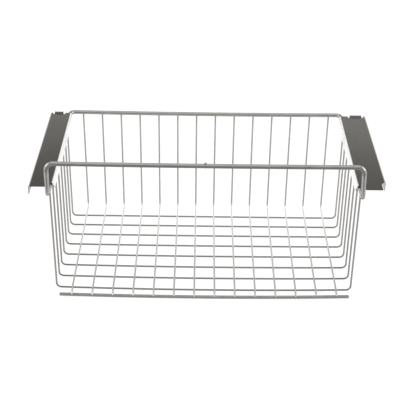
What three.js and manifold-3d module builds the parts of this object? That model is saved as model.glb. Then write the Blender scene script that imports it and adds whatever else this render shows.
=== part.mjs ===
// Freezer basket: a welded wire basket, open at the front, with a raised front bar and
// two sheet-metal slide channels along its sides.
// Millimetres. +Z is up, +X is to the right seen from the front, and the front faces -Y.
// While it is built, x = 0 is the middle of the basket, y = 0 the plane of the rear wall's
// wires, and z = 0 the middle of the lowest floor wires.

import * as THREE from 'three';
import { mergeVertices } from 'three/addons/utils/BufferGeometryUtils.js';
import Module from 'manifold-3d';

const wasm = await Module();
wasm.setup();

const { PI, abs, asin, atan2, cos, hypot, min, max, round, sin, sqrt, tan } = Math;

// Wire diameters
const fillWire = 2.7;
const rimWire = 6.35;
const barWire = 4.8;

// Clearance left between pieces that are welded to each other on the real basket
const seatGap = 0.3;

// Grid of the floor, the rear wall and the side walls
const longWireCount = 14;
const longWirePitch = 30;
const crossWireCount = 8;
const crossWirePitch = 29.08;
const rearBay = 25.7;
const edgeBay = 20.1;

// Heights of the rim's side bars and of its raised front bar, above the floor's cross wires
const rimHeight = 177.5;
const frontBarHeight = 225.9;

// Distances of the legs and of the bottom bar ahead of the front cross wire
const legReach = 34.3;
const bottomBarReach = 11.2;
const bottomBarDrop = 4.7;
const bottomBarSetIn = 1.6;

// Bend radii, to the middle of the wire
const rimRearBend = 9.5;
const legFootBend = 5;
const legTopBend = 10;
const crossWireBend = 7;
const rearFootBend = 4.5;
const noseBend = 4;

// How far the cross wires stand outside the rim, and how the long wires end on the bottom bar
const uprightOverhang = 0.7;
const noseStart = 0.5;
const noseOverrun = 2.6;

// Hand-made irregularity: the bars bow down at mid-width, the bottom bar rises to the right,
// the long wires sit a little to the right, and both legs lean in
const floorBow = 2.8;
const floorBowPower = 1.5;
const bottomBarBow = 3;
const bottomBarTilt = 0.5;
const rearBarBow = 1.15;
const frontBarBow = 0.8;
const longWireShift = 0.8;
const leftLegLean = 0.8;
const rightLegLean = 2;

// Butt weld that closes the rim loop, on the front bar
const weldOffset = -0.4;
const weldRootGap = 0.4;
const weldHalfLength = 1.7;
const weldEndRadius = 2.9;
const weldPeakRadius = 4.2;
const weldLift = 1.1;

// Sheet metal of the slide channels
const sheet = 1;
const innerBend = 3.2;
const outerBend = 2.4;
const lipClearance = 0.9;
const channelRearClearance = 3.2;

// Inner front corner of a channel, cut back beside the leg, with its lip cut on a slant
const innerCutLength = 10.4;
const innerCutWidth = 4.1;
const lipSlantLength = 10;

// Rear end of a channel: a tongue stepped up between two notches that end level with its foot
const tabOuterMargin = 7.1;
const tabRise = 2.2;
const tabReach = 4;
const tabSlope = PI / 4;
const tabBend = 1.3;
const tabOverlap = 1.2;
const notchWidth = 2.5;

// Outer front corner of the right channel, notched back to where its lip ends
const cornerNotchLength = 22;
const cornerNotchChamfer = 6.3;
const cornerNotchDepth = 6.9;

// Left channel
const leftWidth = 34;
const leftInnerLipDepth = 13.5;
const leftOuterLipDepth = 13;
const leftFrontClearance = 10.6;
const leftTabInnerMargin = 13.2;
const leftTabSetIn = 4.6;

// Right channel
const rightWidth = 42.3;
const rightInnerLipDepth = 14.5;
const rightOuterLipDepth = 14.5;
const rightFrontClearance = 12.1;
const rightTabInnerMargin = 16.6;
const rightTabSetIn = 5;

// Overrun of every cutting tool past what it cuts
const overrun = 1;

// Fineness of the wires: sides of a section, and rings in a bend and along a bowed run
const fillSides = 8;
const rimSides = 12;
const bendSteps = 5;
const bowSteps = 6;
const arcSegments = 3;

// Places worked out from the sizes
const fillRadius = fillWire / 2;
const rimRadius = rimWire / 2;
const barRadius = barWire / 2;
const rimHalfWidth = (longWireCount - 1) * longWirePitch / 2 + edgeBay;
const uprightHalfWidth = rimHalfWidth + rimRadius - fillRadius + uprightOverhang;
const floorHalfWidth = uprightHalfWidth - crossWireBend;
const bottomBarHalfLength = rimHalfWidth - bottomBarSetIn;
const frontCrossY = -rearBay - (crossWireCount - 1) * crossWirePitch;
const rearBarY = fillRadius - rimRadius;
const legY = frontCrossY - legReach;
const bottomBarY = frontCrossY - bottomBarReach;
const longWireHeight = fillWire + seatGap;
const channelTop = rimHeight + rimRadius + seatGap + sheet;
const lipFace = rimHalfWidth - rimRadius - lipClearance - sheet;
const channelRearY = rearBarY - rimRearBend - channelRearClearance;

// What differs between the two channels
const channels = [
  {
    name: 'left_slide_channel',
    side: -1,
    width: leftWidth,
    innerLipDepth: leftInnerLipDepth,
    outerLipDepth: leftOuterLipDepth,
    frontClearance: leftFrontClearance,
    tabInnerMargin: leftTabInnerMargin,
    tabSetIn: leftTabSetIn,
    notchedCorner: false,
  },
  {
    name: 'right_slide_channel',
    side: 1,
    width: rightWidth,
    innerLipDepth: rightInnerLipDepth,
    outerLipDepth: rightOuterLipDepth,
    frontClearance: rightFrontClearance,
    tabInnerMargin: rightTabInnerMargin,
    tabSetIn: rightTabSetIn,
    notchedCorner: true,
  },
];

// Finishes
const plainWire = new THREE.MeshStandardMaterial({ color: 0xb4b2ad, roughness: 0.34, metalness: 0.9 });
const thickWire = new THREE.MeshStandardMaterial({ color: 0xa6a39d, roughness: 0.26, metalness: 0.95 });
const plate = new THREE.MeshStandardMaterial({ color: 0x6b6a66, roughness: 0.38, metalness: 0.85 });

// Share of its full bow that a bar has at a place across its width
function bowShare(x, halfWidth) {
  return max(0, 1 - (x / halfWidth) ** 2);
}

// How far a rim bar hangs down
function rimSag({ x, z }) {
  const isFrontBar = z > (rimHeight + frontBarHeight) / 2;
  return (isFrontBar ? frontBarBow : rearBarBow) * bowShare(x, rimHalfWidth);
}

// How far the bottom bar hangs down
function bottomBarSag(x) {
  const across = x - longWireShift;
  return bottomBarBow * bowShare(across, bottomBarHalfLength) - bottomBarTilt * across / bottomBarHalfLength;
}

// How far the floor hangs down, growing from the rear wall to the front cross wire
function floorSag(x, y) {
  const depthShare = min(1, max(0, y / frontCrossY));
  return floorBow * bowShare(x, floorHalfWidth) * depthShare ** floorBowPower;
}

// Height of a butt joint beneath a round bar whose middle is offset from the wire's near side
function heightUnder(barHeight, offset) {
  return barHeight - sqrt(rimRadius ** 2 - offset ** 2) - seatGap;
}

// Middle line of a wire, with one ring of the tube at each of its points
class WireLine extends THREE.Curve {
  constructor(points) {
    super();
    this.points = points;
  }

  ringAt(share) {
    return round(share * (this.points.length - 1));
  }

  getPoint(share, target = new THREE.Vector3()) {
    return target.copy(this.points[this.ringAt(share)]);
  }

  getPointAt(share, target) {
    return this.getPoint(share, target);
  }

  getTangentAt(share, target = new THREE.Vector3()) {
    const ring = this.ringAt(share);
    const here = this.points[ring];
    const before = this.points[max(ring - 1, 0)];
    const after = this.points[min(ring + 1, this.points.length - 1)];
    const arriving = here.clone().sub(before).normalize();
    const leaving = after.clone().sub(here).normalize();
    return target.addVectors(arriving, leaving).normalize();
  }
}

// Corner of a bent wire: its place, its bend radius, and the rings along the run after it
function corner(x, y, z, radius = 0, runSteps = 1) {
  return { place: new THREE.Vector3(x, y, z), radius, runSteps };
}

// Points of one round bend between two straight runs
function bendPoints(before, here, after) {
  const back = before.place.clone().sub(here.place).normalize();
  const ahead = after.place.clone().sub(here.place).normalize();
  const halfAngle = back.angleTo(ahead) / 2;
  const inward = back.clone().add(ahead).normalize();
  const centre = here.place.clone().addScaledVector(inward, here.radius / sin(halfAngle));
  const start = here.place.clone().addScaledVector(back, here.radius / tan(halfAngle));
  const spoke = start.sub(centre);
  const travel = back.clone().multiplyScalar(-here.radius);
  const points = [];
  for (let step = 0; step <= bendSteps; step += 1) {
    const angle = (PI - 2 * halfAngle) * step / bendSteps;
    const point = centre.clone().addScaledVector(spoke, cos(angle));
    points.push(point.addScaledVector(travel, sin(angle)));
  }
  return points;
}

// Middle line through a row of corners, with round bends and evenly ringed runs
function bentLine(corners) {
  const points = [];
  corners.forEach((here, index) => {
    const isEnd = index === 0 || index === corners.length - 1;
    const stretch = isEnd ? [here.place] : bendPoints(corners[index - 1], here, corners[index + 1]);
    if (index > 0) {
      const from = points[points.length - 1].clone();
      const { runSteps } = corners[index - 1];
      for (let step = 1; step < runSteps; step += 1) {
        points.push(from.clone().lerp(stretch[0], step / runSteps));
      }
    }
    points.push(...stretch);
  });
  return points;
}

// Round wire along a middle line
function wireGeometry(points, radius, sides) {
  const section = [];
  for (let index = 0; index < sides; index += 1) {
    const angle = 2 * PI * (index + 0.5) / sides;
    section.push(new THREE.Vector2(radius * cos(angle), radius * sin(angle)));
  }
  return new THREE.ExtrudeGeometry(new THREE.Shape(section), {
    steps: points.length - 1,
    extrudePath: new WireLine(points),
  });
}

function piece(name, geometry, material) {
  const mesh = new THREE.Mesh(geometry, material.clone());
  mesh.name = name;
  return mesh;
}

// Closed solid for cutting and joining
function solidOf(geometry) {
  const bare = geometry.clone();
  bare.deleteAttribute('normal');
  bare.deleteAttribute('uv');
  const merged = mergeVertices(bare);
  return new wasm.Manifold(new wasm.Mesh({
    numProp: 3,
    vertProperties: new Float32Array(merged.attributes.position.array),
    triVerts: new Uint32Array(merged.index.array),
  }));
}

function geometryOf(solid) {
  const mesh = solid.getMesh();
  const geometry = new THREE.BufferGeometry();
  geometry.setAttribute('position', new THREE.BufferAttribute(mesh.vertProperties, 3));
  geometry.setIndex(new THREE.BufferAttribute(mesh.triVerts, 1));
  geometry.computeVertexNormals();
  return geometry;
}

// Straight prisms, from an outline and the direction that it is swept in
function prism(outline, depth) {
  return new THREE.ExtrudeGeometry(new THREE.Shape(outline), { depth, bevelEnabled: false });
}

function prismUp(outline, low, high) {
  return prism(outline, high - low).translate(0, 0, low);
}

function prismForward(outline, rear, front) {
  return prism(outline, rear - front).rotateX(PI / 2).translate(0, rear, 0);
}

function prismBetween(outline, oneX, otherX) {
  const turned = new THREE.Matrix4().makeBasis(
    new THREE.Vector3(0, 1, 0),
    new THREE.Vector3(0, 0, 1),
    new THREE.Vector3(1, 0, 0),
  );
  return prism(outline, abs(otherX - oneX)).applyMatrix4(turned).translate(min(oneX, otherX), 0, 0);
}

// Rim loop: one thick wire that makes the rear bar, both side bars, both legs and the front bar
function rimLoop() {
  const right = rimHalfWidth;
  const left = -rimHalfWidth;
  const halfRun = bowSteps / 2;
  const points = bentLine([
    corner(weldOffset - weldRootGap / 2, legY, frontBarHeight, 0, halfRun),
    corner(left + leftLegLean, legY, frontBarHeight, legTopBend),
    corner(left, legY, rimHeight, legFootBend),
    corner(left, rearBarY, rimHeight, rimRearBend, bowSteps),
    corner(right, rearBarY, rimHeight, rimRearBend),
    corner(right, legY, rimHeight, legFootBend),
    corner(right - rightLegLean, legY, frontBarHeight, legTopBend, halfRun),
    corner(weldOffset + weldRootGap / 2, legY, frontBarHeight),
  ]);
  points.forEach((point) => {
    point.z -= rimSag(point);
  });
  const weldProfile = [
    new THREE.Vector2(0, -weldHalfLength),
    new THREE.Vector2(weldEndRadius, -weldHalfLength),
    new THREE.Vector2(weldPeakRadius, 0),
    new THREE.Vector2(weldEndRadius, weldHalfLength),
    new THREE.Vector2(0, weldHalfLength),
  ];
  const weldSag = rimSag({ x: weldOffset, z: frontBarHeight });
  const weld = new THREE.LatheGeometry(weldProfile, rimSides);
  weld.rotateZ(PI / 2).translate(weldOffset, legY, frontBarHeight - weldSag + weldLift);
  const loop = solidOf(wireGeometry(points, rimRadius, rimSides)).add(solidOf(weld));
  return piece('rim_loop', geometryOf(loop), thickWire);
}

// Cross wire: a U from one side bar down, across the floor and up to the other side bar
function crossWire(index) {
  const y = frontCrossY + index * crossWirePitch;
  const top = heightUnder(rimHeight, uprightHalfWidth - fillRadius - rimHalfWidth);
  const points = bentLine([
    corner(-uprightHalfWidth, y, top),
    corner(-uprightHalfWidth, y, 0, crossWireBend, bowSteps),
    corner(uprightHalfWidth, y, 0, crossWireBend),
    corner(uprightHalfWidth, y, top),
  ]);
  points.forEach((point) => {
    point.z -= floorSag(point.x, point.y);
  });
  return piece(`cross_wire_${index + 1}`, wireGeometry(points, fillRadius, fillSides), plainWire);
}

// Long wire: down the rear wall, forward over the cross wires, and down onto the bottom bar
function longWire(index) {
  const x = (index - (longWireCount - 1) / 2) * longWirePitch + longWireShift;
  const top = heightUnder(rimHeight - rimSag({ x, z: rimHeight }), -fillRadius - rearBarY);
  const bendY = frontCrossY - noseStart;
  const barDrop = bottomBarDrop + bottomBarSag(x) - floorSag(x, frontCrossY);
  const seat = fillRadius + barRadius + seatGap;
  const ahead = bendY - bottomBarY;
  const below = longWireHeight - noseBend + barDrop;
  const slope = atan2(below, ahead) + asin((noseBend - seat) / hypot(ahead, below));
  const noseY = bendY - noseBend * tan(slope / 2);
  const endY = bottomBarY - seat * sin(slope) - noseOverrun * cos(slope);
  const endZ = -barDrop + seat * cos(slope) - noseOverrun * sin(slope);
  const points = bentLine([
    corner(x, 0, top),
    corner(x, 0, longWireHeight, rearFootBend, bowSteps),
    corner(x, noseY, longWireHeight, noseBend),
    corner(x, endY, endZ),
  ]);
  const isOnFloor = (point) => point.z < rimHeight / 2;
  points.filter(isOnFloor).forEach((point) => {
    point.z -= floorSag(point.x, point.y);
  });
  const number = String(index + 1).padStart(2, '0');
  return piece(`long_wire_${number}`, wireGeometry(points, fillRadius, fillSides), plainWire);
}

// Bottom bar: a straight-cut thicker wire under the front ends of the long wires
function bottomBar() {
  const points = bentLine([
    corner(longWireShift - bottomBarHalfLength, bottomBarY, -bottomBarDrop, 0, bowSteps),
    corner(longWireShift + bottomBarHalfLength, bottomBarY, -bottomBarDrop),
  ]);
  points.forEach((point) => {
    point.z -= bottomBarSag(point.x);
  });
  return piece('front_bottom_bar', wireGeometry(points, barRadius, fillSides), thickWire);
}

// Section of a channel across its length: inner lip, flat top and outer lip
function channelSection({ side, width, innerLipDepth, outerLipDepth }) {
  const section = new THREE.Shape();
  const innerBendX = innerBend;
  const outerBendX = width - outerBend;
  section.moveTo(0, -innerLipDepth);
  section.absarc(innerBendX, -innerBend, innerBend, PI, PI / 2, true);
  section.absarc(outerBendX, -outerBend, outerBend, PI / 2, 0, true);
  section.lineTo(width, -outerLipDepth);
  section.lineTo(width - sheet, -outerLipDepth);
  section.absarc(outerBendX, -outerBend, outerBend - sheet, 0, PI / 2, false);
  section.absarc(innerBendX, -innerBend, innerBend - sheet, PI / 2, PI, false);
  section.lineTo(sheet, -innerLipDepth);
  const place = ({ x, y }) => new THREE.Vector2(side * (lipFace + x), channelTop + y);
  return section.getPoints(arcSegments).map(place);
}

// Rear tongue of a channel, bent up a slope from the flat top and then back to run level again
function channelTab(side, innerX, outerX, bendY) {
  const low = channelTop - sheet;
  const high = channelTop + tabRise;
  const rearY = bendY + tabReach;
  const bends = 2 * tabBend - sheet;
  const slopeLength = (tabRise - bends * (1 - cos(tabSlope))) / sin(tabSlope);
  const upperBendY = bendY + bends * sin(tabSlope) + slopeLength * cos(tabSlope);
  const footAngle = tabSlope - PI / 2;
  const headAngle = tabSlope + PI / 2;
  const profile = new THREE.Shape();
  profile.moveTo(bendY - tabOverlap, low);
  profile.absarc(bendY, low + tabBend, tabBend, -PI / 2, footAngle, false);
  profile.absarc(upperBendY, high - tabBend, tabBend - sheet, headAngle, PI / 2, true);
  profile.lineTo(rearY, high - sheet);
  profile.lineTo(rearY, high);
  profile.absarc(upperBendY, high - tabBend, tabBend, PI / 2, headAngle, false);
  profile.absarc(bendY, low + tabBend, tabBend - sheet, footAngle, -PI / 2, true);
  profile.lineTo(bendY - tabOverlap, channelTop);
  return prismBetween(profile.getPoints(arcSegments), side * innerX, side * outerX);
}

// Slide channel: sheet metal that covers a side bar and hangs over on both sides
function slideChannel(spec) {
  const frontY = legY + legFootBend + spec.frontClearance;
  const outerFace = lipFace + spec.width;
  const low = channelTop - max(spec.innerLipDepth, spec.outerLipDepth) - overrun;
  const high = channelTop + overrun;
  const plan = (x, y) => new THREE.Vector2(spec.side * x, y);
  let channel = solidOf(prismForward(channelSection(spec), channelRearY, frontY));

  const cutY = frontY + innerCutLength;
  const innerCut = [
    plan(lipFace - overrun, frontY - overrun),
    plan(lipFace + innerCutWidth, frontY - overrun),
    plan(lipFace + innerCutWidth, cutY),
    plan(lipFace - overrun, cutY),
  ];
  channel = channel.subtract(solidOf(prismUp(innerCut, low, high)));

  const lipSlant = [
    new THREE.Vector2(cutY + lipSlantLength, low),
    new THREE.Vector2(cutY + lipSlantLength, channelTop - spec.innerLipDepth),
    new THREE.Vector2(cutY, channelTop - innerBend),
    new THREE.Vector2(cutY - overrun, channelTop - innerBend),
    new THREE.Vector2(cutY - overrun, low),
  ];
  const lipNear = spec.side * (lipFace - overrun);
  const lipFar = spec.side * (lipFace + sheet + overrun);
  channel = channel.subtract(solidOf(prismBetween(lipSlant, lipNear, lipFar)));

  const tabInnerX = lipFace + spec.tabInnerMargin;
  const tabOuterX = outerFace - tabOuterMargin;
  const bendY = channelRearY - spec.tabSetIn;
  const rearCut = [
    plan(tabInnerX - notchWidth, bendY),
    plan(tabOuterX + notchWidth, bendY),
    plan(tabOuterX + notchWidth, channelRearY + overrun),
    plan(tabInnerX - notchWidth, channelRearY + overrun),
  ];
  channel = channel.subtract(solidOf(prismUp(rearCut, low, high)));
  channel = channel.add(solidOf(channelTab(spec.side, tabInnerX, tabOuterX, bendY)));

  if (spec.notchedCorner) {
    const notchY = frontY + cornerNotchLength;
    const cornerCut = [
      plan(outerFace - cornerNotchDepth, frontY - overrun),
      plan(outerFace + overrun, frontY - overrun),
      plan(outerFace + overrun, notchY),
      plan(outerFace - outerBend, notchY),
      plan(outerFace - cornerNotchDepth, notchY - cornerNotchChamfer),
    ];
    channel = channel.subtract(solidOf(prismUp(cornerCut, low, high)));
  }
  return piece(spec.name, geometryOf(channel), plate);
}

// The whole basket, set down with the middle of its footprint at the origin
const basket = new THREE.Group();
basket.add(rimLoop());
for (let index = 0; index < crossWireCount; index += 1) {
  basket.add(crossWire(index));
}
for (let index = 0; index < longWireCount; index += 1) {
  basket.add(longWire(index));
}
basket.add(bottomBar());
channels.forEach((spec) => basket.add(slideChannel(spec)));

const reach = new THREE.Box3().setFromObject(basket);
const middle = reach.getCenter(new THREE.Vector3());
basket.position.set(-middle.x, -middle.y, -reach.min.z);

const freezerBasket = new THREE.Group();
freezerBasket.add(basket);

export default freezerBasket;
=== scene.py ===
# Freezer basket: its bright wires, their welds and its two folded slide channels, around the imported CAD
# model. Metres. +X is to the right seen from the front, the front faces -Y, and +Z is up.

import math

import bmesh
import bpy
from mathutils import Matrix, Vector


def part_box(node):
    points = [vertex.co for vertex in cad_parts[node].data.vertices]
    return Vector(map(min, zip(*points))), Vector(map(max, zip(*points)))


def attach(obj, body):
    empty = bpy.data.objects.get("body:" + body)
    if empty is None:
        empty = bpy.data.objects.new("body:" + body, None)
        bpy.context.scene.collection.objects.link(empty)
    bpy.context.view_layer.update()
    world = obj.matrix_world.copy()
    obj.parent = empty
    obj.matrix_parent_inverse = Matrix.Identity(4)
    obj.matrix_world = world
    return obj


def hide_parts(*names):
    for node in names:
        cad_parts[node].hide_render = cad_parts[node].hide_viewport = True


BODY = "root"
MM = 0.001
CM = 10 * MM

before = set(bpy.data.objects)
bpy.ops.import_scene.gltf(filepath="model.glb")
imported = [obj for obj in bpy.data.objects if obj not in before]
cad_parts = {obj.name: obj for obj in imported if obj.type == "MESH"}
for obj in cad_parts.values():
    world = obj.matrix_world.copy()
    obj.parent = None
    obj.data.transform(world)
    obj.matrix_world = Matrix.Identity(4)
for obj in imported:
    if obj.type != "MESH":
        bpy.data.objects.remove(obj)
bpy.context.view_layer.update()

# Wires
FILL_RADIUS = 1.35 * MM
RIM_RADIUS = 3.175 * MM
BAR_RADIUS = 2.4 * MM
SEAT_GAP = 0.3 * MM

# Meshes of the three gauges: sides around, steps in each bend, and the chamfer of the cut ends
THIN_WIRE = {"radius": FILL_RADIUS, "sides": 16, "bend_steps": 8, "chamfer": 0.2 * MM}
RIM_WIRE = {"radius": RIM_RADIUS, "sides": 24, "bend_steps": 12, "chamfer": 0.3 * MM}
BAR_WIRE = {"radius": BAR_RADIUS, "sides": 20, "bend_steps": 1, "chamfer": 0.3 * MM}
RUN_STEP = 2 * CM

# Grid of the floor and the walls
LONG_WIRES = 14
LONG_PITCH = 30 * MM
LONG_SHIFT = 0.8 * MM
CROSS_WIRES = 8
CROSS_PITCH = 29.08 * MM
REAR_BAY = 25.7 * MM
SIDE_BAY = 20.1 * MM
UPRIGHT_OVERHANG = 0.7 * MM
LEG_REACH = 34.3 * MM
RIM_HALF_WIDTH = (LONG_WIRES - 1) * LONG_PITCH / 2 + SIDE_BAY
RIM_HEIGHT = 177.5 * MM
FRONT_BAR_HEIGHT = 225.9 * MM
UPRIGHT_HALF_WIDTH = RIM_HALF_WIDTH + RIM_RADIUS - FILL_RADIUS + UPRIGHT_OVERHANG
FRONT_CROSS_Y = -REAR_BAY - (CROSS_WIRES - 1) * CROSS_PITCH
LEG_Y = FRONT_CROSS_Y - LEG_REACH
REAR_BAR_Y = FILL_RADIUS - RIM_RADIUS
BOTTOM_BAR_REACH = 11.2 * MM
BOTTOM_BAR_INSET = 1.6 * MM
BOTTOM_BAR_DROP = 4.7 * MM
BOTTOM_BAR_Y = FRONT_CROSS_Y - BOTTOM_BAR_REACH
BOTTOM_BAR_HALF = RIM_HALF_WIDTH - BOTTOM_BAR_INSET

# Bends, to the middle of the wire
RIM_REAR_BEND = 9.5 * MM
LEG_FOOT_BEND = 5 * MM
LEG_TOP_BEND = 10 * MM
CROSS_BEND = 7 * MM
REAR_FOOT_BEND = 4.5 * MM
NOSE_BEND = 4 * MM
NOSE_START = 0.5 * MM
NOSE_OVERRUN = 2.6 * MM

# Hand-made irregularity
FLOOR_BOW = 2.8 * MM
FLOOR_BOW_POWER = 1.5
BOTTOM_BAR_BOW = 3 * MM
BOTTOM_BAR_TILT = 0.5 * MM
REAR_BAR_BOW = 1.15 * MM
FRONT_BAR_BOW = 0.8 * MM
LEFT_LEG_LEAN = 0.8 * MM
RIGHT_LEG_LEAN = 2 * MM

# Sheet metal
SHEET = 1 * MM
INNER_FOLD = 3.2 * MM
OUTER_FOLD = 2.4 * MM
LIP_CLEARANCE = 0.9 * MM
REAR_CLEARANCE = 3.2 * MM
CHANNEL_TOP = RIM_HEIGHT + RIM_RADIUS + SEAT_GAP + SHEET
LIP_FACE = RIM_HALF_WIDTH - RIM_RADIUS - LIP_CLEARANCE - SHEET
CHANNEL_REAR_Y = REAR_BAR_Y - RIM_REAR_BEND - REAR_CLEARANCE
TAB_OUTER_MARGIN = 7.1 * MM
TAB_RISE = 2.2 * MM
TAB_REACH = 4 * MM
TAB_SLOPE = math.radians(45)
TAB_LOWER_FOLD = 0.3 * MM
TAB_UPPER_FOLD = TAB_LOWER_FOLD + SHEET
NOTCH_WIDTH = 2.5 * MM
INNER_CUT_LENGTH = 10.4 * MM
INNER_CUT_WIDTH = 4.1 * MM
LIP_SLANT = 10 * MM
CORNER_LENGTH = 22 * MM
CORNER_CHAMFER = 6.3 * MM
CORNER_DEPTH = 6.9 * MM
LIP_FOLD_STEPS = 8
TAB_FOLD_STEPS = 4
DEBURR_WIDTH = 0.18 * MM
DEBURR_ANGLE = math.radians(50)
TOUCH = SHEET / 10

LEFT_CHANNEL = {
    "node": "left_slide_channel",
    "side": -1,
    "width": 34 * MM,
    "inner_lip": 13.5 * MM,
    "outer_lip": 13 * MM,
    "front_gap": 10.6 * MM,
    "tab_inner_margin": 13.2 * MM,
    "tab_set_in": 4.6 * MM,
    "notched": False,
}
RIGHT_CHANNEL = {
    "node": "right_slide_channel",
    "side": 1,
    "width": 42.3 * MM,
    "inner_lip": 14.5 * MM,
    "outer_lip": 14.5 * MM,
    "front_gap": 12.1 * MM,
    "tab_inner_margin": 16.6 * MM,
    "tab_set_in": 5 * MM,
    "notched": True,
}

# Welds: how far each spreads along and across the wires, and how proud it stands
CROSS_WELD = Vector((1.5, 1.5, 0.75)) * MM
BUTT_WELD = Vector((1.55, 1.55, 0.7)) * MM
BUTT_WELD_SHIFT = BUTT_WELD.x - FILL_RADIUS
NOSE_WELD = Vector((1.5, 1.5, 0.7)) * MM
RIM_WELD_X = -0.4 * MM
RIM_WELD_COLLAR = Vector((2.6, 3.5, 3.45)) * MM
RIM_WELD_NUB = Vector((1.75, 1.9, 2.1)) * MM
RIM_WELD_NUB_LIFT = 3.2 * MM

# Place of the middle of the rim, the rear wires' plane and the floor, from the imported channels
_, left_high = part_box("left_slide_channel")
right_low, right_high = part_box("right_slide_channel")
DATUM = Vector((
    (left_high.x + right_low.x) / 2,
    right_high.y - CHANNEL_REAR_Y,
    right_high.z - TAB_RISE - CHANNEL_TOP,
))

X, Y, Z = Vector((1, 0, 0)), Vector((0, 1, 0)), Vector((0, 0, 1))


# Sag of the bars and of the floor


def bow_share(x, half_width):
    return max(0.0, 1 - (x / half_width) ** 2)


def rim_sag(point):
    on_front_bar = point.z > (RIM_HEIGHT + FRONT_BAR_HEIGHT) / 2
    bow = FRONT_BAR_BOW if on_front_bar else REAR_BAR_BOW
    return bow * bow_share(point.x, RIM_HALF_WIDTH)


def bottom_bar_sag(point):
    across = point.x - LONG_SHIFT
    return BOTTOM_BAR_BOW * bow_share(across, BOTTOM_BAR_HALF) - BOTTOM_BAR_TILT * across / BOTTOM_BAR_HALF


def floor_sag(point):
    depth_share = min(1.0, max(0.0, point.y / FRONT_CROSS_Y))
    return FLOOR_BOW * bow_share(point.x, UPRIGHT_HALF_WIDTH - CROSS_BEND) * depth_share**FLOOR_BOW_POWER


def long_wire_sag(point):
    return floor_sag(point) if point.z < RIM_HEIGHT / 2 else 0.0


# Round wires


class Wire:
    """A round wire: one ring pulled along straight runs and turned through bends.

    Each vertex remembers where it would be if the wire were straight, for grain that follows the wire.
    """

    def __init__(self, start, towards, radius, sides):
        self.mesh = bmesh.new()
        self.straight = self.mesh.verts.layers.float_vector.new("straight")
        self.here = start.copy()
        self.heading = (towards - start).normalized()
        self.travelled = 0.0
        made = bmesh.ops.create_circle(self.mesh, cap_ends=True, segments=sides, radius=radius)
        self.ring = made["verts"]
        for vertex in self.ring:
            vertex[self.straight] = vertex.co
        turn = Z.rotation_difference(self.heading).to_matrix()
        bmesh.ops.rotate(self.mesh, verts=self.ring, cent=(0, 0, 0), matrix=turn)
        bmesh.ops.translate(self.mesh, verts=self.ring, vec=start)

    def pull(self):
        """Draws a new ring out of the open end, in the same place."""
        edges = [edge for edge in self.mesh.edges if edge.is_boundary]
        made = bmesh.ops.extrude_edge_only(self.mesh, edges=edges)
        self.ring = [item for item in made["geom"] if isinstance(item, bmesh.types.BMVert)]
        return self.ring

    def advance(self, length):
        self.travelled += length
        for vertex in self.ring:
            around = vertex[self.straight]
            vertex[self.straight] = (around.x, around.y, self.travelled)

    def run(self, length, steps):
        step = self.heading * length / steps
        for _ in range(steps):
            bmesh.ops.translate(self.mesh, verts=self.pull(), vec=step)
            self.here = self.here + step
            self.advance(length / steps)

    def bend(self, heading, radius, steps):
        axis = self.heading.cross(heading).normalized()
        angle = self.heading.angle(heading)
        centre = self.here + axis.cross(self.heading) * radius
        turn = Matrix.Rotation(angle / steps, 3, axis)
        for _ in range(steps):
            bmesh.ops.rotate(self.mesh, verts=self.pull(), cent=centre, matrix=turn)
            self.here = centre + turn @ (self.here - centre)
            self.advance(radius * angle / steps)
        self.heading = heading.copy()

    def close(self, chamfer):
        """Closes the last end and takes the sharp edge off both ends."""
        bmesh.ops.contextual_create(self.mesh, geom=self.ring)
        rims = [edge for face in self.mesh.faces if len(face.verts) > 4 for edge in face.edges]
        for face in self.mesh.faces:
            face.smooth = len(face.verts) == 4
        bmesh.ops.bevel(
            self.mesh, geom=rims, offset=chamfer, segments=2, profile=0.5, affect="EDGES", material=-1
        )


def corner(x, y, z, radius=0.0):
    return Vector((x, y, z)), radius


def wire_along(corners, radius, sides, bend_steps, chamfer):
    """A closed wire through a row of corners, each with the radius of its bend."""
    places = [place for place, _ in corners]
    wire = Wire(places[0], places[1], radius, sides)
    for index in range(1, len(corners)):
        place, bend_radius = corners[index]
        trim = 0.0
        if index < len(corners) - 1:
            onward = (places[index + 1] - place).normalized()
            trim = bend_radius * math.tan(wire.heading.angle(onward) / 2)
        length = (place - wire.here).length - trim
        wire.run(length, max(1, round(length / RUN_STEP)))
        if index < len(corners) - 1:
            wire.bend(onward, bend_radius, bend_steps)
    wire.close(chamfer)
    return wire.mesh


def sag(mesh, amount):
    for vertex in mesh.verts:
        vertex.co.z -= amount(vertex.co)


def add_weld(mesh, place, radii, heading=Z, material=1):
    """A squeezed-out weld: a flat bead whose short axis follows the heading."""
    shape = Z.rotation_difference(heading).to_matrix().to_4x4() @ Matrix.Diagonal(radii).to_4x4()
    made = bmesh.ops.create_uvsphere(
        mesh, u_segments=10, v_segments=6, radius=1.0, matrix=Matrix.Translation(place) @ shape
    )
    for face in {face for vertex in made["verts"] for face in vertex.link_faces}:
        face.smooth = True
        face.material_index = material


def add_object(name, mesh, materials):
    """Turns a bmesh into an object of the scene."""
    data = bpy.data.meshes.new(name)
    mesh.to_mesh(data)
    mesh.free()
    for material in materials:
        data.materials.append(material)
    made = bpy.data.objects.new(name, data)
    bpy.context.scene.collection.objects.link(made)
    return made


def finish_piece(mesh, name, materials, nodes):
    """Turns a bmesh into an object that stands for its CAD nodes and rides with them."""
    bmesh.ops.translate(mesh, verts=mesh.verts, vec=DATUM)
    bmesh.ops.recalc_face_normals(mesh, faces=mesh.faces)
    piece = add_object(name, mesh, materials)
    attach(piece, BODY)
    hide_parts(*nodes)


# Shader nodes


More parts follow.
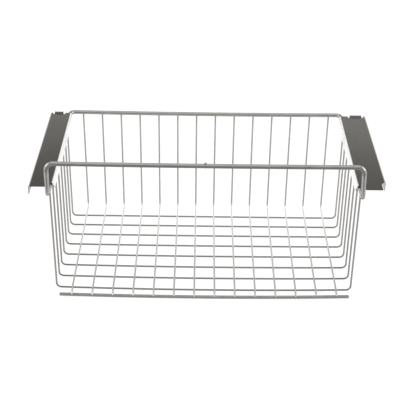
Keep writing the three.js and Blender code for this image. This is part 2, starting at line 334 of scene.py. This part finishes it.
class Socket:
    """A node's output, with arithmetic that adds Math nodes."""

    def __init__(self, tree, output):
        self.tree = tree
        self.output = output

    def _math(self, operation, *values):
        node = self.tree.nodes.new("ShaderNodeMath")
        node.operation = operation
        for place, value in enumerate(values):
            plug(self.tree, value, node.inputs[place])
        return Socket(self.tree, node.outputs[0])

    def __add__(self, other):
        return self._math("ADD", self, other)

    __radd__ = __add__

    def __mul__(self, other):
        return self._math("MULTIPLY", self, other)

    __rmul__ = __mul__

    def __sub__(self, other):
        return self._math("SUBTRACT", self, other)

    def __rsub__(self, other):
        return self._math("SUBTRACT", other, self)

    def __truediv__(self, other):
        return self._math("DIVIDE", self, other)

    def __abs__(self):
        return self._math("ABSOLUTE", self)

    def clamped(self):
        """Holds the value between 0 and 1."""
        return self._math("MINIMUM", self._math("MAXIMUM", self, 0.0), 1.0)


def plug(tree, value, target):
    if isinstance(value, Socket):
        tree.links.new(value.output, target)
    else:
        target.default_value = value


class Shader:
    """A material's node tree, with one method for every node that isn't arithmetic."""

    def __init__(self, name):
        self.material = bpy.data.materials.new(name)
        self.material.use_nodes = True
        self.tree = self.material.node_tree
        self.tree.nodes.clear()

    def node(self, kind, output=0, settings=None, numbered=None, **named):
        """Adds a node. Sockets that share one name are given by their number."""
        node = self.tree.nodes.new(kind)
        for key, value in (settings or {}).items():
            setattr(node, key, value)
        for place, value in (numbered or {}).items():
            plug(self.tree, value, node.inputs[place])
        for name, value in named.items():
            plug(self.tree, value, node.inputs[name.replace("_", " ")])
        return Socket(self.tree, node.outputs[output])

    def mix(self, factor, first, second):
        return self.node("ShaderNodeMix", 2, {"data_type": "RGBA"}, {0: factor, 6: first, 7: second})

    def axis(self, vector, name):
        return self.node("ShaderNodeSeparateXYZ", name, Vector=vector)

    def finish(self, surface):
        output = self.tree.nodes.new("ShaderNodeOutputMaterial")
        plug(self.tree, surface, output.inputs["Surface"])
        return self.material


def rgb(red, green, blue):
    return (red, green, blue, 1.0)


def grey(level):
    return rgb(level, level, level)


# Finish of the wires: draw lines, stains, and painted shade where the surface faces down
DRAW_LINES = (2600.0, 2600.0, 60.0)
LINE_ROUGHNESS = 0.06
STAIN_START = 0.42
STAIN_CONTRAST = 3.2
STAIN_ROUGHNESS = 0.1
# Painted shade: this dark colour is laid on surfaces that face down, more towards the front
PAINTED_UNDERSIDE_SHADE = rgb(0.10, 0.095, 0.09)
UNDERSIDE_SHADE_SHARE = 0.75
UNDERSIDE_SHADE_START = 0.25
UNDERSIDE_SHADE_FADE = 0.5

# A floor run's painted light takes over below this height, over this fade, with this share of the stains
FLOOR_RUN_TOP = DATUM.z + 12 * MM
FLOOR_RUN_FADE = 8 * MM
FLOOR_RUN_STAINS = 0.2

# Heights between which the legs are free of the painted underside shade, with this fade inside each end
LEG_HEIGHTS = (DATUM.z + RIM_HEIGHT, DATUM.z + FRONT_BAR_HEIGHT - LEG_TOP_BEND)
UNSHADED_FADE = 4 * MM


def wire_material(name, pale, dull, roughness, floor_run_light=None, unshaded_heights=None):
    """Plated drawn wire: draw lines along it, stained stretches, and painted shade below, more to the front.

    A floor run's light is a wire's two colours along the floor, at the rear wall and at the front: painted
    light.
    Between the two heights given for the legs, nothing gets the painted shade.
    """
    shader = Shader(name)
    place = shader.node("ShaderNodeTexCoord", "Object")
    forward = ((DATUM.y - shader.axis(place, "Y")) / -FRONT_CROSS_Y).clamped()
    straight = shader.node("ShaderNodeAttribute", "Vector", {"attribute_name": "straight"})
    stretched = shader.node("ShaderNodeMapping", Vector=straight, Scale=DRAW_LINES)
    lines = shader.node("ShaderNodeTexNoise", "Fac", Vector=stretched, Scale=1.0, Detail=3.0)
    stains = shader.node("ShaderNodeTexNoise", "Fac", Vector=straight, Scale=45.0, Detail=5.0, Roughness=0.62)
    dullness = ((stains - STAIN_START) * STAIN_CONTRAST).clamped()
    colour = shader.mix(dullness, pale, dull)
    # Painted light on the floor run: its own colours, fading from rear to front, in place of the wire's
    if floor_run_light:
        on_floor = ((FLOOR_RUN_TOP - shader.axis(place, "Z")) / FLOOR_RUN_FADE).clamped()
        run = shader.mix(dullness * FLOOR_RUN_STAINS, shader.mix(forward, *floor_run_light), dull)
        colour = shader.mix(on_floor, colour, run)
    # Painted shade on surfaces that face down, growing towards the front
    upward = shader.axis(shader.node("ShaderNodeNewGeometry", "Normal"), "Z")
    underside_shaded = ((UNDERSIDE_SHADE_START - upward) / UNDERSIDE_SHADE_FADE).clamped() * forward * UNDERSIDE_SHADE_SHARE
    # The painted shade is left off between the two heights given for the legs
    if unshaded_heights:
        low, high = unshaded_heights
        height = shader.axis(place, "Z")
        above = ((height - low) / UNSHADED_FADE).clamped()
        below = ((high - height) / UNSHADED_FADE).clamped()
        underside_shaded = underside_shaded * (1.0 - above * below)
    colour = shader.mix(underside_shaded, colour, PAINTED_UNDERSIDE_SHADE)
    relief = shader.node("ShaderNodeBump", Height=lines, Strength=0.08, Distance=0.0002)
    return shader.finish(shader.node(
        "ShaderNodeBsdfPrincipled",
        Base_Color=colour,
        Metallic=1.0,
        Roughness=dullness * STAIN_ROUGHNESS + lines * LINE_ROUGHNESS + (roughness - LINE_ROUGHNESS / 2),
        Normal=relief,
    ))


# Finish of the weld metal: its darkest grain as a share of its tint, and how much rougher the grain is
WELD_SHADE = 0.72
WELD_GRAIN_ROUGHNESS = 0.2


def weld_material(name, tint, roughness):
    """Squeezed weld metal: rougher and a little darker than the wire around it."""
    shader = Shader(name)
    place = shader.node("ShaderNodeTexCoord", "Object")
    grain = shader.node("ShaderNodeTexNoise", "Fac", Vector=place, Scale=900.0, Detail=4.0)
    colour = shader.mix(grain, tint, rgb(*(WELD_SHADE * part for part in tint[:3])))
    relief = shader.node("ShaderNodeBump", Height=grain, Strength=0.3, Distance=0.0003)
    return shader.finish(shader.node(
        "ShaderNodeBsdfPrincipled",
        Base_Color=colour,
        Metallic=1.0,
        Roughness=grain * WELD_GRAIN_ROUGHNESS + roughness,
        Normal=relief,
    ))


# Finish of the channels: rolling lines, clouding, and the share of a fold over which its lip's painted light
# sets in
ROLLING_LINES = (1500.0, 18.0, 1500.0)
ROLLING_ROUGHNESS = 0.05
CLOUD_CONTRAST = 1.6
CLOUD_OFFSET = 0.3
CLOUD_ROUGHNESS = 0.06
LIP_ONSET = 1 / 3
# Painted light on the lips: the inner lip is painted near-white as a painted reflection, the outer lip
# painted grey
INNER_LIP_PAINTED_REFLECTION = rgb(0.94, 0.935, 0.925)
OUTER_LIP_PAINTED_LIGHT = rgb(0.50, 0.495, 0.48)

# Taken off the sheet's own roughness, because its lines and clouds add about as much
SHEET_ROUGHNESS_DROP = 0.05


def sheet_material(name, pale, dull, roughness, width):
    """Dark rolled sheet with rolling lines and soft clouding; its inner lip is painted bright and its outer
    lip grey, as painted light.
    """
    shader = Shader(name)
    place = shader.node("ShaderNodeTexCoord", "Object")
    stretched = shader.node("ShaderNodeMapping", Vector=place, Scale=ROLLING_LINES)
    lines = shader.node("ShaderNodeTexNoise", "Fac", Vector=stretched, Scale=1.0, Detail=4.0)
    clouds = shader.node("ShaderNodeTexNoise", "Fac", Vector=place, Scale=22.0, Detail=5.0, Roughness=0.55)
    colour = shader.mix((clouds * CLOUD_CONTRAST - CLOUD_OFFSET).clamped(), pale, dull)
    distance = abs(shader.axis(place, "X") - DATUM.x)
    inward = (LIP_FACE + INNER_FOLD - distance) / INNER_FOLD
    outward = (distance - (LIP_FACE + width - OUTER_FOLD)) / OUTER_FOLD
    # Painted light: the lips take lighter colours than the sheet's top
    colour = shader.mix((outward / LIP_ONSET).clamped(), colour, OUTER_LIP_PAINTED_LIGHT)
    colour = shader.mix((inward / LIP_ONSET).clamped(), colour, INNER_LIP_PAINTED_REFLECTION)
    relief = shader.node("ShaderNodeBump", Height=lines, Strength=0.03, Distance=0.0002)
    return shader.finish(shader.node(
        "ShaderNodeBsdfPrincipled",
        Base_Color=colour,
        Metallic=1.0,
        Roughness=lines * ROLLING_ROUGHNESS + clouds * CLOUD_ROUGHNESS + (roughness - SHEET_ROUGHNESS_DROP),
        Normal=relief,
    ))


cross_plating = wire_material(
    "cross wire plating",
    pale=rgb(0.41, 0.405, 0.39),
    dull=rgb(0.34, 0.335, 0.32),
    roughness=0.22,
    # Painted shade: the cross wires' floor run is darker than their uprights
    floor_run_light=(rgb(0.30, 0.295, 0.28), rgb(0.28, 0.275, 0.26)),
)
long_plating = wire_material(
    "long wire plating",
    pale=rgb(0.44, 0.435, 0.42),
    dull=rgb(0.37, 0.365, 0.35),
    roughness=0.22,
    # Painted reflection: the long wires' floor run is near-white at the rear wall and dimmer at the front
    floor_run_light=(rgb(0.95, 0.945, 0.93), rgb(0.60, 0.595, 0.58)),
)
rim_plating = wire_material(
    "rim plating",
    pale=rgb(0.41, 0.40, 0.38),
    dull=rgb(0.35, 0.34, 0.325),
    roughness=0.13,
    unshaded_heights=LEG_HEIGHTS,
)
bar_plating = wire_material(
    "bottom bar plating", pale=rgb(0.35, 0.345, 0.33), dull=rgb(0.29, 0.285, 0.27), roughness=0.24
)
weld = weld_material("weld", tint=rgb(0.34, 0.33, 0.315), roughness=0.32)
left_sheet = sheet_material(
    "left sheet",
    pale=rgb(0.128, 0.121, 0.107),
    dull=rgb(0.108, 0.100, 0.086),
    roughness=0.15,
    width=LEFT_CHANNEL["width"],
)
right_sheet = sheet_material(
    "right sheet",
    pale=rgb(0.152, 0.148, 0.134),
    dull=rgb(0.130, 0.123, 0.109),
    roughness=0.15,
    width=RIGHT_CHANNEL["width"],
)


# The rim loop, with its two ends butt-welded on the front bar


def build_rim():
    right, left = RIM_HALF_WIDTH, -RIM_HALF_WIDTH
    mesh = wire_along(
        [
            corner(RIM_WELD_X, LEG_Y, FRONT_BAR_HEIGHT),
            corner(left + LEFT_LEG_LEAN, LEG_Y, FRONT_BAR_HEIGHT, LEG_TOP_BEND),
            corner(left, LEG_Y, RIM_HEIGHT, LEG_FOOT_BEND),
            corner(left, REAR_BAR_Y, RIM_HEIGHT, RIM_REAR_BEND),
            corner(right, REAR_BAR_Y, RIM_HEIGHT, RIM_REAR_BEND),
            corner(right, LEG_Y, RIM_HEIGHT, LEG_FOOT_BEND),
            corner(right - RIGHT_LEG_LEAN, LEG_Y, FRONT_BAR_HEIGHT, LEG_TOP_BEND),
            corner(RIM_WELD_X, LEG_Y, FRONT_BAR_HEIGHT),
        ],
        **RIM_WIRE,
    )
    joint = Vector((RIM_WELD_X, LEG_Y, FRONT_BAR_HEIGHT))
    add_weld(mesh, joint, RIM_WELD_COLLAR, material=0)
    add_weld(mesh, joint + Z * RIM_WELD_NUB_LIFT, RIM_WELD_NUB)
    sag(mesh, rim_sag)
    finish_piece(mesh, "rim", [rim_plating, weld], ["rim_loop"])


# Cross wires


def cross_wire_y(index):
    return FRONT_CROSS_Y + index * CROSS_PITCH


def build_cross_wire(index):
    y = cross_wire_y(index)
    inset = UPRIGHT_HALF_WIDTH - FILL_RADIUS - RIM_HALF_WIDTH
    top = RIM_HEIGHT - math.sqrt(RIM_RADIUS**2 - inset**2) - SEAT_GAP
    mesh = wire_along(
        [
            corner(-UPRIGHT_HALF_WIDTH, y, top),
            corner(-UPRIGHT_HALF_WIDTH, y, 0, CROSS_BEND),
            corner(UPRIGHT_HALF_WIDTH, y, 0, CROSS_BEND),
            corner(UPRIGHT_HALF_WIDTH, y, top),
        ],
        **THIN_WIRE,
    )
    for side in (-1, 1):
        add_weld(mesh, Vector((side * (UPRIGHT_HALF_WIDTH - BUTT_WELD_SHIFT), y, top)), BUTT_WELD)
    sag(mesh, floor_sag)
    finish_piece(
        mesh, f"cross_wire_bent_{index + 1}", [cross_plating, weld], [f"cross_wire_{index + 1}"]
    )


# Long wires, each with its welds on the cross wires


def build_long_wire(index):
    x = (index - (LONG_WIRES - 1) / 2) * LONG_PITCH + LONG_SHIFT
    floor_z = 2 * FILL_RADIUS + SEAT_GAP
    on_front = Vector((x, FRONT_CROSS_Y, 0))
    top_offset = FILL_RADIUS + REAR_BAR_Y
    bar_z = RIM_HEIGHT - rim_sag(Vector((x, 0, RIM_HEIGHT)))
    top = bar_z - math.sqrt(RIM_RADIUS**2 - top_offset**2) - SEAT_GAP
    bend_y = FRONT_CROSS_Y - NOSE_START
    drop = BOTTOM_BAR_DROP + bottom_bar_sag(on_front) - floor_sag(on_front)
    seat = FILL_RADIUS + BAR_RADIUS + SEAT_GAP
    ahead = bend_y - BOTTOM_BAR_Y
    below = floor_z - NOSE_BEND + drop
    slope = math.atan2(below, ahead) + math.asin((NOSE_BEND - seat) / math.hypot(ahead, below))
    nose_y = bend_y - NOSE_BEND * math.tan(slope / 2)
    end_y = BOTTOM_BAR_Y - seat * math.sin(slope) - NOSE_OVERRUN * math.cos(slope)
    end_z = -drop + seat * math.cos(slope) - NOSE_OVERRUN * math.sin(slope)
    mesh = wire_along(
        [
            corner(x, 0, top),
            corner(x, 0, floor_z, REAR_FOOT_BEND),
            corner(x, nose_y, floor_z, NOSE_BEND),
            corner(x, end_y, end_z),
        ],
        **THIN_WIRE,
    )
    for crossing in range(CROSS_WIRES):
        add_weld(mesh, Vector((x, cross_wire_y(crossing), floor_z / 2)), CROSS_WELD)
    on_bar = Vector((x, BOTTOM_BAR_Y, -drop))
    tilt = Vector((0, -math.sin(slope), math.cos(slope)))
    add_weld(mesh, on_bar + tilt * (BAR_RADIUS + SEAT_GAP / 2), NOSE_WELD, tilt)
    add_weld(mesh, Vector((x, -BUTT_WELD_SHIFT, top)), BUTT_WELD)
    sag(mesh, long_wire_sag)
    number = f"{index + 1:02d}"
    finish_piece(mesh, f"long_wire_bent_{number}", [long_plating, weld], [f"long_wire_{number}"])


# Bottom bar


def build_bottom_bar():
    mesh = wire_along(
        [
            corner(LONG_SHIFT - BOTTOM_BAR_HALF, BOTTOM_BAR_Y, -BOTTOM_BAR_DROP),
            corner(LONG_SHIFT + BOTTOM_BAR_HALF, BOTTOM_BAR_Y, -BOTTOM_BAR_DROP),
        ],
        **BAR_WIRE,
    )
    sag(mesh, bottom_bar_sag)
    finish_piece(mesh, "bottom_bar", [bar_plating], ["front_bottom_bar"])


# Slide channels, folded from one flat sheet


def open_edges(mesh, x_low, x_high, y_low=-math.inf, y_high=math.inf):
    """The sheet's open edges whose ends both lie in a stretch of x and y, give or take TOUCH."""

    def is_inside(place):
        is_across = x_low - TOUCH < place.x < x_high + TOUCH
        return is_across and y_low - TOUCH < place.y < y_high + TOUCH

    return [edge for edge in mesh.edges if edge.is_boundary and all(is_inside(end.co) for end in edge.verts)]


def ends_of(edges):
    return list(dict.fromkeys(vertex for edge in edges for vertex in edge.verts))


def fold(mesh, edges, centre, axis, angle, steps):
    """Rolls a bend onto an edge of the sheet and returns the sheet's new edge."""
    geometry = [*edges, *ends_of(edges)]
    made = bmesh.ops.spin(
        mesh, geom=geometry, cent=centre, axis=axis, angle=angle, steps=steps, use_duplicate=False
    )
    return [item for item in made["geom_last"] if isinstance(item, bmesh.types.BMEdge)]


def pull_sheet(mesh, edges, step):
    """Draws an edge of the sheet out flat and returns the sheet's new edge."""
    made = bmesh.ops.extrude_edge_only(mesh, edges=edges)
    moved = {item for item in made["geom"] if isinstance(item, bmesh.types.BMVert)}
    bmesh.ops.translate(mesh, verts=list(moved), vec=step)
    return [edge for edge in mesh.edges if moved.issuperset(edge.verts)]


def step_up_tab(mesh, edges, bend_y):
    """Bends the rear tongue up a slope and then back, so that it runs level above the sheet."""
    folds = TAB_LOWER_FOLD + TAB_UPPER_FOLD
    slope_length = (TAB_RISE - folds * (1 - math.cos(TAB_SLOPE))) / math.sin(TAB_SLOPE)
    upper_y = bend_y + folds * math.sin(TAB_SLOPE) + slope_length * math.cos(TAB_SLOPE)
    upper_z = CHANNEL_TOP + TAB_RISE - TAB_UPPER_FOLD
    last = fold(mesh, edges, (0, bend_y, CHANNEL_TOP + TAB_LOWER_FOLD), X, TAB_SLOPE, TAB_FOLD_STEPS)
    last = pull_sheet(mesh, last, (Y * math.cos(TAB_SLOPE) + Z * math.sin(TAB_SLOPE)) * slope_length)
    last = fold(mesh, last, (0, upper_y, upper_z), X, -TAB_SLOPE, TAB_FOLD_STEPS)
    pull_sheet(mesh, last, Y * (bend_y + TAB_REACH - upper_y))


def finish_channel(mesh, spec, material):
    """Puts the folded sheet on its side of the basket and gives it its thickness and deburred edges."""
    bmesh.ops.triangulate(mesh, faces=[face for face in mesh.faces if len(face.verts) > 4])
    bmesh.ops.scale(mesh, verts=mesh.verts, vec=(spec["side"], 1, 1))
    bmesh.ops.recalc_face_normals(mesh, faces=mesh.faces)
    # An open sheet has no inside, so its largest face says which way is out
    top = max(mesh.faces, key=lambda face: face.calc_area())
    if top.normal.z < 0:
        bmesh.ops.reverse_faces(mesh, faces=mesh.faces)
    for face in mesh.faces:
        face.smooth = True
    bmesh.ops.translate(mesh, verts=mesh.verts, vec=DATUM)
    piece = add_object(spec["node"].replace("slide_channel", "slide_rail"), mesh, [material])
    wall = piece.modifiers.new("sheet thickness", "SOLIDIFY")
    wall.thickness = SHEET
    wall.offset = -1
    wall.use_even_offset = True
    edge = piece.modifiers.new("deburred edges", "BEVEL")
    edge.width = DEBURR_WIDTH
    edge.segments = 2
    edge.limit_method = "ANGLE"
    edge.angle_limit = DEBURR_ANGLE
    flat = piece.modifiers.new("flat sheet shades flat", "WEIGHTED_NORMAL")
    flat.keep_sharp = True
    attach(piece, BODY)
    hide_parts(spec["node"])


def build_channel(spec, material):
    outer_face = LIP_FACE + spec["width"]
    inner_x = LIP_FACE + INNER_FOLD
    outer_x = outer_face - OUTER_FOLD
    tab_inner = LIP_FACE + spec["tab_inner_margin"]
    tab_outer = outer_face - TAB_OUTER_MARGIN
    tab_y = CHANNEL_REAR_Y - spec["tab_set_in"]
    front_y = LEG_Y + LEG_FOOT_BEND + spec["front_gap"]
    cut_y = front_y + INNER_CUT_LENGTH
    outline = [
        (inner_x, CHANNEL_REAR_Y),
        (inner_x, cut_y),
        (LIP_FACE + INNER_CUT_WIDTH, cut_y),
        (LIP_FACE + INNER_CUT_WIDTH, front_y),
    ]
    if spec["notched"]:
        corner_y = front_y + CORNER_LENGTH
        outline += [
            (outer_face - CORNER_DEPTH, front_y),
            (outer_face - CORNER_DEPTH, corner_y - CORNER_CHAMFER),
            (outer_x, corner_y),
        ]
    else:
        outline += [(outer_x, front_y)]
    outline += [
        (outer_x, CHANNEL_REAR_Y),
        (tab_outer + NOTCH_WIDTH, CHANNEL_REAR_Y),
        (tab_outer + NOTCH_WIDTH, tab_y),
        (tab_outer, tab_y),
        (tab_inner, tab_y),
        (tab_inner - NOTCH_WIDTH, tab_y),
        (tab_inner - NOTCH_WIDTH, CHANNEL_REAR_Y),
    ]
    mesh = bmesh.new()
    mesh.faces.new([mesh.verts.new((x, y, CHANNEL_TOP)) for x, y in outline])
    inner_edges = open_edges(mesh, inner_x, inner_x)
    outer_edges = open_edges(mesh, outer_x, outer_x)
    tab_edges = open_edges(mesh, tab_inner, tab_outer, tab_y, tab_y)

    quarter = math.pi / 2
    last = fold(mesh, inner_edges, (inner_x, 0, CHANNEL_TOP - INNER_FOLD), Y, -quarter, LIP_FOLD_STEPS)
    last = pull_sheet(mesh, last, -Z * (spec["inner_lip"] - INNER_FOLD))
    for vertex in ends_of(last):
        if vertex.co.y < cut_y + TOUCH:
            vertex.co.y += LIP_SLANT
    last = fold(mesh, outer_edges, (outer_x, 0, CHANNEL_TOP - OUTER_FOLD), Y, quarter, LIP_FOLD_STEPS)
    pull_sheet(mesh, last, -Z * (spec["outer_lip"] - OUTER_FOLD))
    step_up_tab(mesh, tab_edges, tab_y)
    finish_channel(mesh, spec, material)


build_rim()
for number in range(CROSS_WIRES):
    build_cross_wire(number)
for number in range(LONG_WIRES):
    build_long_wire(number)
build_bottom_bar()
build_channel(LEFT_CHANNEL, left_sheet)
build_channel(RIGHT_CHANNEL, right_sheet)


# Studio: a pale floor with a pale wall that is higher behind, soft lamps, and the camera of the photograph

FLOOR_RADIUS = 3.2
WALL_HEIGHT = 1.1
BACK_WALL_HEIGHT = 1.8
BACK_WALL_START = 1.6
BACK_WALL_RUN = 1.0
WORLD_GREY = 0.5
FLOOR_GLOW = 0.9
FLOOR_COLOUR = 0.2
FLOOR_BOUNCE = 0.85
CARD_COLOUR = 0.52
CARD_WIDTH = 0.9
CARD_LENGTH = 1.1
CARD_TILT = math.radians(42)
CARD_PLACE = Vector((0, -0.79, 0.375))

# Lamps: two softboxes overhead, each with its y and radiance, and a strip on each side
SOFTBOX_SIZE = (2.6, 1.8)
SOFTBOX_HEIGHT = 1.9
SOFTBOXES = {"front softbox": (-1.5, 0.45), "rear softbox": (0.3, 0.6)}
STRIP_SIZE = (0.7, 1.5)
STRIP_DISTANCE = 2.2
STRIP_Y = -0.3
STRIP_HEIGHT = 1.15
STRIP_AIM = Vector((0, -0.1, 0.2))
STRIP_RADIANCE = 5.0


def studio_white():
    """White as the camera and shiny metal see it, and still darkened a little by the object's shadow."""
    shader = Shader("studio white")
    seen = shader.node("ShaderNodeLightPath", "Is Camera Ray")
    seen = seen + shader.node("ShaderNodeLightPath", "Is Glossy Ray")
    seen = (seen + shader.node("ShaderNodeLightPath", "Is Transmission Ray")).clamped()
    lit = shader.node("ShaderNodeBsdfDiffuse", Color=grey(FLOOR_BOUNCE))
    shaded = shader.node("ShaderNodeBsdfDiffuse", Color=grey(FLOOR_COLOUR))
    glow = shader.node("ShaderNodeEmission", Color=grey(1), Strength=FLOOR_GLOW)
    white = shader.node("ShaderNodeAddShader", numbered={0: glow, 1: shaded})
    return shader.finish(shader.node("ShaderNodeMixShader", numbered={0: seen, 1: lit, 2: white}))


def add_stage(name, mesh, material):
    prop = add_object(name, mesh, [material])
    return prop


def build_floor():
    mesh = bmesh.new()
    bmesh.ops.create_circle(mesh, cap_ends=True, segments=96, radius=FLOOR_RADIUS)
    rim = [edge for edge in mesh.edges if edge.is_boundary]
    made = bmesh.ops.extrude_edge_only(mesh, edges=rim)
    raised = [item for item in made["geom"] if isinstance(item, bmesh.types.BMVert)]
    for vertex in raised:
        rise = min(1.0, max(0.0, (vertex.co.y - BACK_WALL_START) / BACK_WALL_RUN))
        vertex.co.z = WALL_HEIGHT + (BACK_WALL_HEIGHT - WALL_HEIGHT) * rise
    add_stage("studio_floor", mesh, studio_white())


def add_lamp(name, place, aim, size, radiance):
    """Adds an area lamp. Its radiance adds to the world's, which shows through it."""
    width, height = size
    data = bpy.data.lights.new(name, "AREA")
    data.shape = "RECTANGLE"
    data.size = width
    data.size_y = height
    data.energy = radiance * math.pi * width * height
    lamp = bpy.data.objects.new(name, data)
    lamp.location = place
    lamp.rotation_euler = (aim - place).to_track_quat("-Z", "Y").to_euler()
    lamp.visible_camera = False
    bpy.context.scene.collection.objects.link(lamp)


def build_lamps():
    for name, (y, radiance) in SOFTBOXES.items():
        add_lamp(name, Vector((0, y, SOFTBOX_HEIGHT)), Vector((0, y, 0)), SOFTBOX_SIZE, radiance)
    for name, side in (("left strip", -1), ("right strip", 1)):
        place = Vector((side * STRIP_DISTANCE, STRIP_Y, STRIP_HEIGHT))
        add_lamp(name, place, STRIP_AIM, STRIP_SIZE, STRIP_RADIANCE)


def build_card():
    """A grey card in front of the basket, below the camera's view: the dark core of the legs and bars."""
    mesh = bmesh.new()
    bmesh.ops.create_grid(mesh, x_segments=1, y_segments=1, size=0.5)
    bmesh.ops.scale(mesh, verts=mesh.verts, vec=(CARD_WIDTH, CARD_LENGTH, 1))
    bmesh.ops.rotate(mesh, verts=mesh.verts, cent=(0, 0, 0), matrix=Matrix.Rotation(-CARD_TILT, 3, "X"))
    bmesh.ops.translate(mesh, verts=mesh.verts, vec=CARD_PLACE)
    shader = Shader("grey card")
    matt = shader.node("ShaderNodeBsdfDiffuse", Color=grey(CARD_COLOUR))
    card = add_stage("grey_card", mesh, shader.finish(matt))
    card.visible_camera = False
    card.visible_shadow = False
    card.visible_diffuse = False


def build_world():
    world = bpy.data.worlds.new("studio")
    world.use_nodes = True
    background = world.node_tree.nodes["Background"]
    background.inputs["Color"].default_value = grey(1)
    background.inputs["Strength"].default_value = WORLD_GREY
    bpy.context.scene.world = world


CAMERA_PLACE = Vector((-12.05, -1300.84, 871.82)) * MM
CAMERA_YAW = math.radians(0.540)
CAMERA_PITCH = math.radians(30.932)
CAMERA_ROLL = math.radians(0.972)
SENSOR = 36.0
PHOTO_WIDTH = 415
FOCAL_PIXELS = 994.5
NEAREST_SEEN = 5 * CM
FARTHEST_SEEN = 30


def build_camera():
    data = bpy.data.cameras.new("photo camera")
    data.sensor_width = SENSOR
    data.lens = FOCAL_PIXELS * SENSOR / PHOTO_WIDTH
    data.clip_start = NEAREST_SEEN
    data.clip_end = FARTHEST_SEEN
    camera = bpy.data.objects.new("photo camera", data)
    turn = Matrix.Rotation(-CAMERA_YAW, 4, "Z")
    turn = turn @ Matrix.Rotation(math.pi / 2 - CAMERA_PITCH, 4, "X")
    turn = turn @ Matrix.Rotation(CAMERA_ROLL, 4, "Z")
    camera.matrix_world = Matrix.Translation(CAMERA_PLACE) @ turn
    bpy.context.scene.collection.objects.link(camera)
    bpy.context.scene.camera = camera


build_floor()
build_world()
build_lamps()
build_card()
build_camera()
bpy.context.scene.view_settings.view_transform = "Standard"
